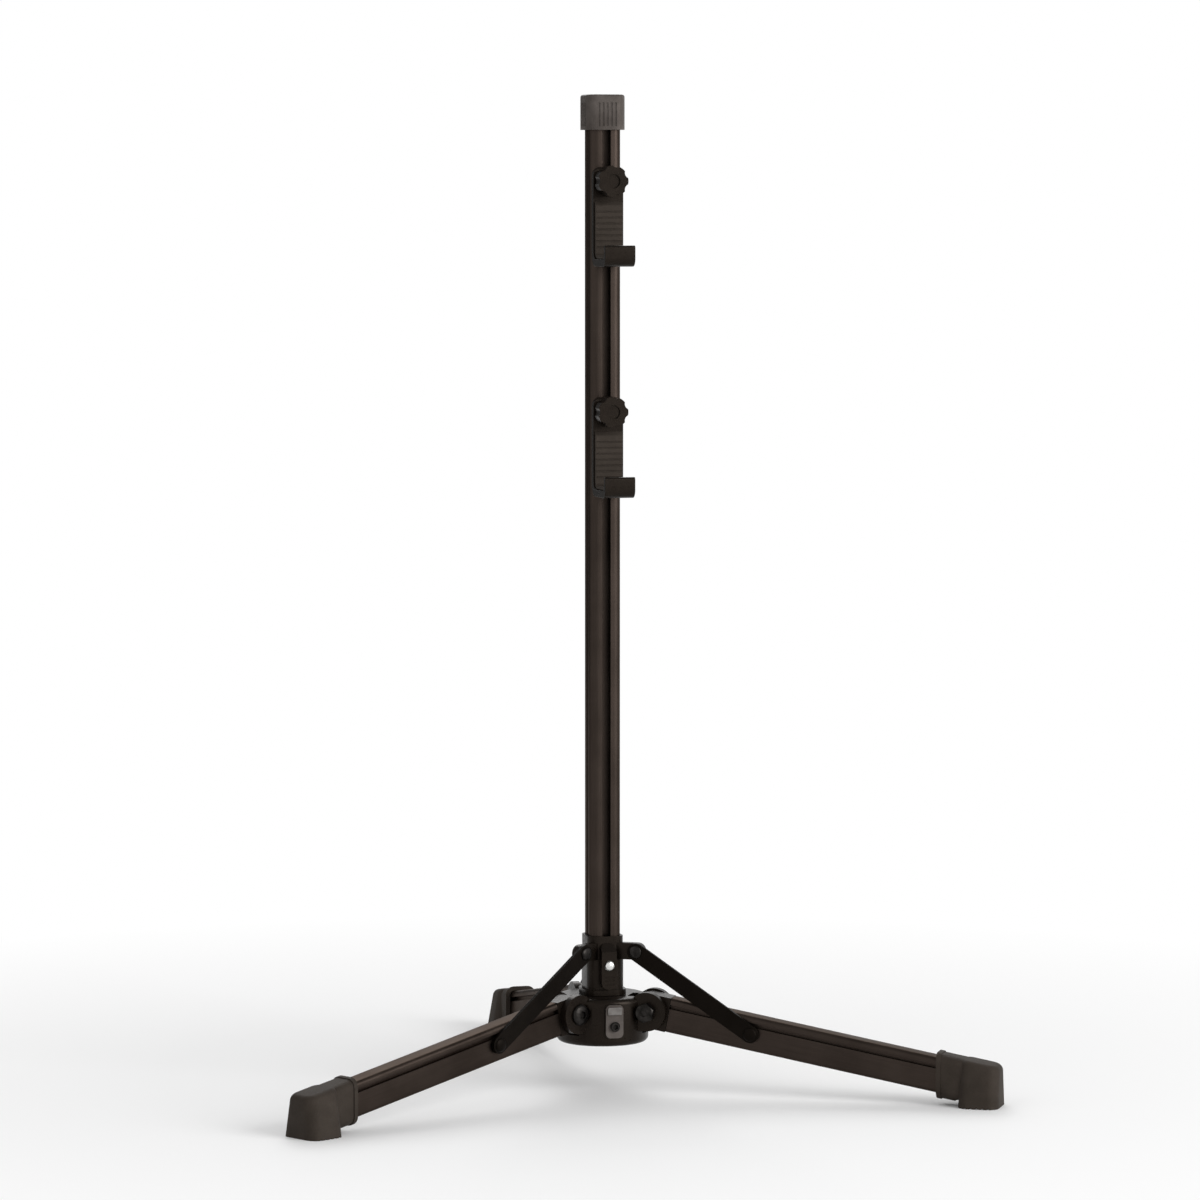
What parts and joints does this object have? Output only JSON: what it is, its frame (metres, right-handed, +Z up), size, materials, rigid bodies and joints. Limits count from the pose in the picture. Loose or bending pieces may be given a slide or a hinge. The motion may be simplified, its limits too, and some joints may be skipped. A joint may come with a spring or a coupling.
{
  "type": "bike display stand",
  "caption": "Folding floor stand: a slotted square upright on a braced tripod with rubber feet, and open lined hooks that slide on the upright and carry a frame.",
  "frame": {"origin": "on the floor, at the middle of the footprint that the three feet span", "axes": "+Z up along the upright; -Y is the front, where the hooks open; +X is to the right seen from the front"},
  "size_m": [0.5172, 0.4502, 0.7123],
  "materials": {
    "black_aluminium": "satin black anodised",
    "black_steel": "black powder coat",
    "black_plastic": "fine texture",
    "grey_rubber": "matte",
    "bright_steel": "bright zinc",
    "dark_steel": "black oxide"
  },
  "bodies": {
    "base": {"post_extrusion": "black_aluminium", "post_top_cap": "black_plastic", "hub_casting": "black_plastic", "hub_bottom_cover": "black_plastic", "hub_cover_screw_1": "dark_steel", "hub_cover_screw_2": "dark_steel", "hub_cover_screw_3": "dark_steel", "hub_set_screw": "dark_steel", "neck_sleeve": "black_plastic", "leg_pivot_bolt_front_left": "dark_steel", "leg_pivot_nut_front_left": "dark_steel", "leg_pivot_bolt_front_right": "dark_steel", "leg_pivot_nut_front_right": "dark_steel", "leg_pivot_bolt_rear": "dark_steel", "leg_pivot_nut_rear": "dark_steel"},
    "leg_front_left": {"leg_tube_front_left": "black_aluminium", "leg_root_front_left": "black_plastic", "foot_cap_front_left": "grey_rubber", "brace_lower_pin_front_left": "dark_steel"},
    "leg_front_right": {"leg_tube_front_right": "black_aluminium", "leg_root_front_right": "black_plastic", "foot_cap_front_right": "grey_rubber", "brace_lower_pin_front_right": "dark_steel"},
    "leg_rear": {"leg_tube_rear": "black_aluminium", "leg_root_rear": "black_plastic", "foot_cap_rear": "grey_rubber", "brace_lower_pin_rear": "dark_steel"},
    "collar": {"collar": "black_plastic", "button_retainer": "dark_steel", "button_spring": "bright_steel", "brace_upper_pin_front_left": "dark_steel", "brace_upper_pin_front_right": "dark_steel", "brace_upper_pin_rear": "dark_steel"},
    "snap_button": {"snap_button": "bright_steel"},
    "brace_front_left": {"brace_front_left": "black_steel"},
    "brace_front_right": {"brace_front_right": "black_steel"},
    "brace_rear": {"brace_rear": "black_steel"},
    "upper_hook": {"upper_hook_body": "black_plastic", "upper_hook_liner": "grey_rubber", "upper_clamp_washer": "dark_steel", "upper_slot_nut": "dark_steel"},
    "upper_knob": {"upper_clamp_knob": "black_plastic", "upper_clamp_stud": "bright_steel"},
    "lower_hook": {"lower_hook_body": "black_plastic", "lower_hook_liner": "grey_rubber", "lower_clamp_washer": "dark_steel", "lower_slot_nut": "dark_steel"},
    "lower_knob": {"lower_clamp_knob": "black_plastic", "lower_clamp_stud": "bright_steel"}
  },
  "joints": [
    {"name": "leg_front_left_fold", "type": "hinge", "parent": "base", "child": "leg_front_left", "pos_m": [-0.03118, -0.08492, 0.0587], "axis": [-0.5, 0.866, 0], "range_deg": [0, 90]},
    {"name": "leg_front_right_fold", "type": "hinge", "parent": "base", "child": "leg_front_right", "pos_m": [0.03118, -0.08492, 0.0587], "axis": [-0.5, -0.866, 0], "range_deg": [0, 90]},
    {"name": "leg_rear_fold", "type": "hinge", "parent": "base", "child": "leg_rear", "pos_m": [0, -0.03092, 0.0587], "axis": [1, 0, 0], "range_deg": [0, 90]},
    {"name": "collar_slide", "type": "slide", "parent": "base", "child": "collar", "axis": [0, 0, 1], "range_m": [0, 0.13225]},
    {"name": "brace_front_left_swing", "type": "hinge", "parent": "collar", "child": "brace_front_left", "pos_m": [-0.02382, -0.08067, 0.1013], "axis": [-0.5, 0.866, 0], "range_deg": [-44.1, 0]},
    {"name": "brace_front_right_swing", "type": "hinge", "parent": "collar", "child": "brace_front_right", "pos_m": [0.02382, -0.08067, 0.1013], "axis": [-0.5, -0.866, 0], "range_deg": [-44.1, 0]},
    {"name": "brace_rear_swing", "type": "hinge", "parent": "collar", "child": "brace_rear", "pos_m": [0, -0.03942, 0.1013], "axis": [1, 0, 0], "range_deg": [-44.1, 0]},
    {"name": "snap_button_press", "type": "slide", "parent": "collar", "child": "snap_button", "axis": [0, 1, 0], "range_m": [0, 0.002], "stiffness_N_per_m": 700, "springref_m": -0.001, "deforming": ["button_spring"]},
    {"name": "upper_hook_slide", "type": "slide", "parent": "base", "child": "upper_hook", "axis": [0, 0, 1], "range_m": [-0.045, 0.024]},
    {"name": "upper_knob_turn", "type": "hinge", "parent": "upper_hook", "child": "upper_knob", "pos_m": [0, -0.09092, 0.651], "axis": [0, -1, 0], "range_deg": [0, 360]},
    {"name": "lower_hook_slide", "type": "slide", "parent": "base", "child": "lower_hook", "axis": [0, 0, 1], "range_m": [-0.17, 0.04]},
    {"name": "lower_knob_turn", "type": "hinge", "parent": "lower_hook", "child": "lower_knob", "pos_m": [0, -0.09092, 0.488], "axis": [0, -1, 0], "range_deg": [0, 360]}
  ],
  "couplings": [
    {"joint": "leg_front_right_fold", "follows": "leg_front_left_fold", "ratio": 1},
    {"joint": "leg_rear_fold", "follows": "leg_front_left_fold", "ratio": 1},
    {"joint": "collar_slide", "follows": "leg_front_left_fold", "m_per_rad": 0.084068},
    {"joint": "brace_front_left_swing", "follows": "leg_front_left_fold", "ratio": -0.48831},
    {"joint": "brace_front_right_swing", "follows": "leg_front_left_fold", "ratio": -0.48831},
    {"joint": "brace_rear_swing", "follows": "leg_front_left_fold", "ratio": -0.48831}
  ]
}
